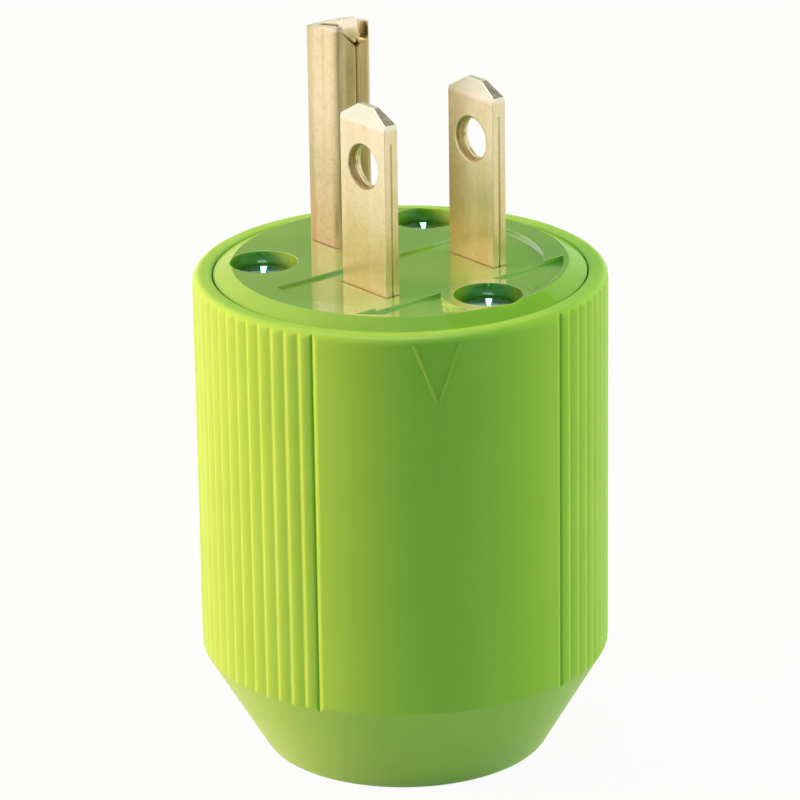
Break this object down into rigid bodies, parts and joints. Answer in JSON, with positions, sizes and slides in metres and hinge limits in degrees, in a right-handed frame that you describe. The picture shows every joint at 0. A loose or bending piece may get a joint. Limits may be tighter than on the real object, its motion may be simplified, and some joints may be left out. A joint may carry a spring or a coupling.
{
  "type": "type b plug",
  "caption": "Straight-blade grounding plug with a ribbed round housing, glossy face plate, two flat brass blades, a folded ground pin and a tapered cord end.",
  "frame": {"origin": "centre of the flat cord-end face that the plug stands on", "axes": "+Z along the blades, from the cord end to the face; +Y from the axis towards the ground pin; +X from the neutral blade to the line blade"},
  "size_m": [0.0384, 0.0384, 0.0694],
  "materials": {
    "housing_nylon": "satin",
    "face_polycarbonate": "polished",
    "carrier_plastic": "matte",
    "blade_brass": "satin",
    "pin_brass": "satin",
    "seal_rubber": "matte",
    "jaw_plastic": "matte",
    "guide_plastic": "matte",
    "plate_brass": "satin",
    "terminal_screw_brass": "satin",
    "terminal_screw_steel": "satin",
    "terminal_screw_green": "satin",
    "assembly_screw_steel": "bright zinc",
    "insert_brass": "satin"
  },
  "bodies": {
    "root": {"housing": "housing_nylon", "face_plate": "face_polycarbonate", "terminal_carrier": "carrier_plastic", "line_blade": "blade_brass", "neutral_blade": "blade_brass", "ground_pin": "pin_brass", "cord_seal": "seal_rubber", "cord_grip_jaw_left": "jaw_plastic", "cord_grip_jaw_right": "jaw_plastic", "wire_guide": "guide_plastic", "line_clamp_plate": "plate_brass", "neutral_clamp_plate": "plate_brass", "ground_clamp_plate": "plate_brass", "line_terminal_screw": "terminal_screw_brass", "neutral_terminal_screw": "terminal_screw_steel", "ground_terminal_screw": "terminal_screw_green", "assembly_screw_1": "assembly_screw_steel", "assembly_screw_2": "assembly_screw_steel", "assembly_screw_3": "assembly_screw_steel", "threaded_insert_1": "insert_brass", "threaded_insert_2": "insert_brass", "threaded_insert_3": "insert_brass"}
  },
  "joints": []
}
